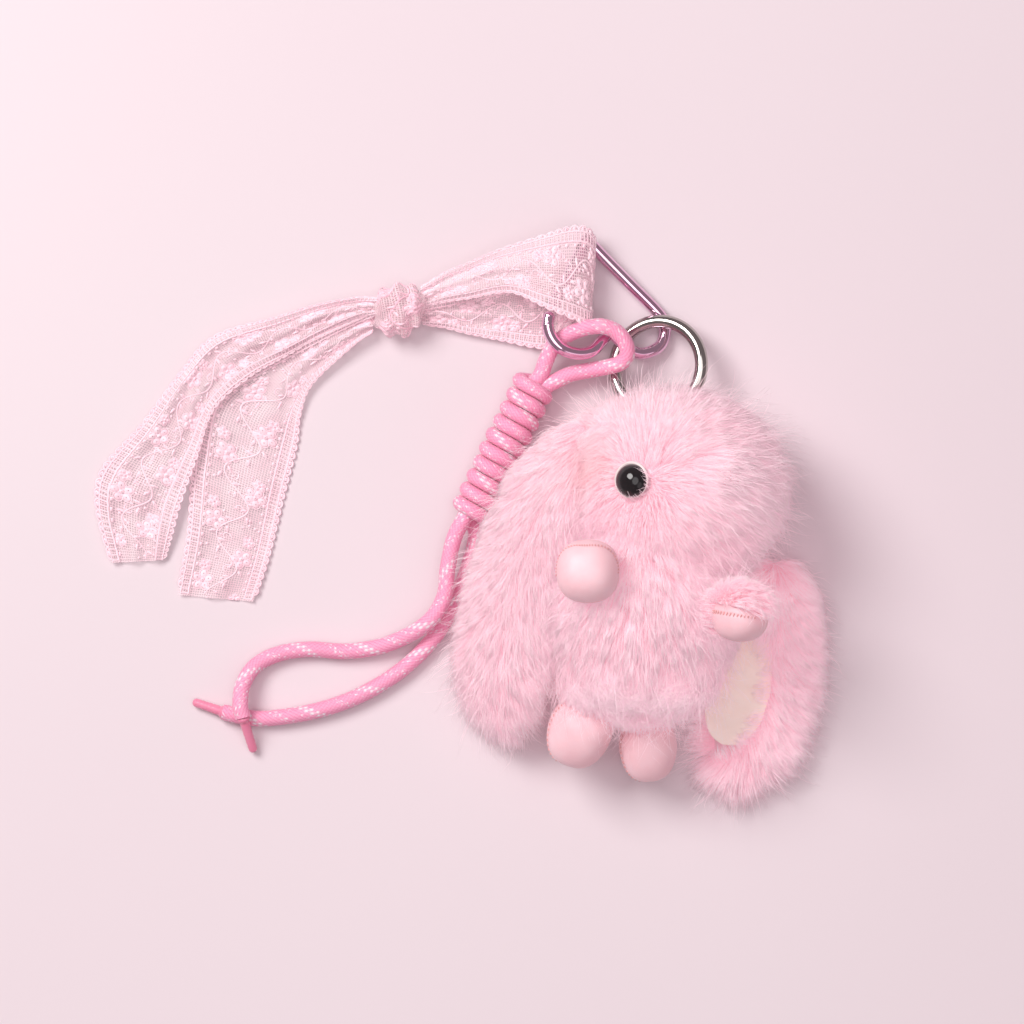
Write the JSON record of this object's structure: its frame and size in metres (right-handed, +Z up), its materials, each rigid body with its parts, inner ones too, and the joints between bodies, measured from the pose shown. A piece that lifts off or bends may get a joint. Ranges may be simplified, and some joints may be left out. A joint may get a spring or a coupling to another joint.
{
  "type": "plush bag charm",
  "caption": "Lop-eared plush bunny charm on a key ring, with a heart carabiner, a wrapped cord with loose tails and a knotted lace ribbon.",
  "frame": {"origin": "a point on the flat back of the plush body, which lies on the surface that the object rests on", "axes": "+Z up, out of the plush's front; +Y towards its head and the carabiner; +X to the right seen from above"},
  "size_m": [0.1902, 0.1471, 0.0543],
  "materials": {
    "fur": "long soft faux fur, pale pink with lighter tips",
    "stuffing": "white fibre fill",
    "paw_leather": "smooth satin faux leather with stitched seams",
    "ear_lining": "matt suede",
    "eye": "polished black",
    "washer": "natural",
    "tape": "woven tape",
    "ring_chrome": "polished gunmetal",
    "pink_chrome": "polished pink plating",
    "steel": "plain",
    "cord": "braided polyester with pale flecks",
    "aglet": "smooth moulded tip",
    "lace": "embroidered net lace"
  },
  "bodies": {
    "plush": {"head_pelt": "fur", "torso_pelt": "fur", "head_stuffing": "stuffing", "torso_stuffing": "stuffing", "eye_left": "eye", "eye_right": "eye", "eye_washer_left": "washer", "eye_washer_right": "washer", "hanging_tape": "tape"},
    "ear_left": {"ear_left_pelt": "fur", "ear_left_lining": "ear_lining"},
    "ear_right": {"ear_right_pelt": "fur", "ear_right_lining": "ear_lining"},
    "arm_left": {"arm_left_sleeve": "fur", "paw_left": "paw_leather"},
    "arm_right": {"arm_right_sleeve": "fur", "paw_right": "paw_leather"},
    "leg_left": {"leg_left_sleeve": "fur", "foot_left": "paw_leather"},
    "leg_right": {"leg_right_sleeve": "fur", "foot_right": "paw_leather"},
    "ring": {"key_ring": "ring_chrome"},
    "heart": {"heart_frame": "pink_chrome", "gate_pin": "steel", "cord_loop": "cord"},
    "gate": {"heart_gate": "pink_chrome", "gate_spring": "steel"},
    "cord": {"cord_wrap": "cord", "cord_tail_a": "cord", "cord_tail_b": "cord", "aglet_a": "aglet", "aglet_b": "aglet"},
    "lace": {"lace_loop_front": "lace", "lace_loop_back": "lace", "lace_knot": "lace", "lace_tail_upper": "lace", "lace_tail_lower": "lace"}
  },
  "joints": [
    {"name": "ear_left_lift", "type": "hinge", "parent": "plush", "child": "ear_left", "pos_m": [-0.015, 0.038, 0.033], "axis": [-0.7901, 0.3541, -0.5004], "range_deg": [0, 50], "stiffness_Nm_per_rad": 0.02},
    {"name": "ear_right_swing", "type": "hinge", "parent": "plush", "child": "ear_right", "pos_m": [0.036, 0.002, 0.009], "axis": [0, 0, 1], "range_deg": [0, 25], "stiffness_Nm_per_rad": 0.02},
    {"name": "arm_left_bend", "type": "hinge", "parent": "plush", "child": "arm_left", "pos_m": [-0.0115, -0.0026, 0.027], "axis": [1, 0, 0], "range_deg": [-8, 8], "stiffness_Nm_per_rad": 0.02},
    {"name": "arm_right_bend", "type": "hinge", "parent": "plush", "child": "arm_right", "pos_m": [0.0125, -0.0096, 0.029], "axis": [0, 0, 1], "range_deg": [-8, 8], "stiffness_Nm_per_rad": 0.02},
    {"name": "leg_left_lift", "type": "hinge", "parent": "plush", "child": "leg_left", "pos_m": [-0.0095, -0.024, 0.021], "axis": [-1, 0, 0], "range_deg": [-4, 12], "stiffness_Nm_per_rad": 0.02},
    {"name": "leg_right_lift", "type": "hinge", "parent": "plush", "child": "leg_right", "pos_m": [0.0006, -0.026, 0.018], "axis": [-1, 0, 0], "range_deg": [-4, 12], "stiffness_Nm_per_rad": 0.02},
    {"name": "ring_swing", "type": "hinge", "parent": "plush", "child": "ring", "pos_m": [0.0046, 0.0423, 0.0084], "axis": [0, 0, 1], "range_deg": [-12, 3]},
    {"name": "heart_swing", "type": "hinge", "parent": "ring", "child": "heart", "pos_m": [0.0064, 0.0667, 0.00175], "axis": [0, 0, 1], "range_deg": [-6, 3]},
    {"name": "gate_open", "type": "hinge", "parent": "heart", "child": "gate", "pos_m": [-0.0139, 0.0885, 0.00572], "axis": [0.3153, 0.1223, 0.9411], "range_deg": [0, 12], "stiffness_Nm_per_rad": 0.01, "springref_deg": -17.19},
    {"name": "cord_lift", "type": "hinge", "parent": "heart", "child": "cord", "pos_m": [-0.0282, 0.0494, 0.0055], "axis": [-0.8987, 0.4386, 0], "range_deg": [0, 30], "deforming": ["cord_loop"]},
    {"name": "lace_lift", "type": "hinge", "parent": "heart", "child": "lace", "pos_m": [-0.01895, 0.07865, 0.00869], "axis": [0.4403, 0.8596, -0.2594], "range_deg": [0, 10]}
  ]
}
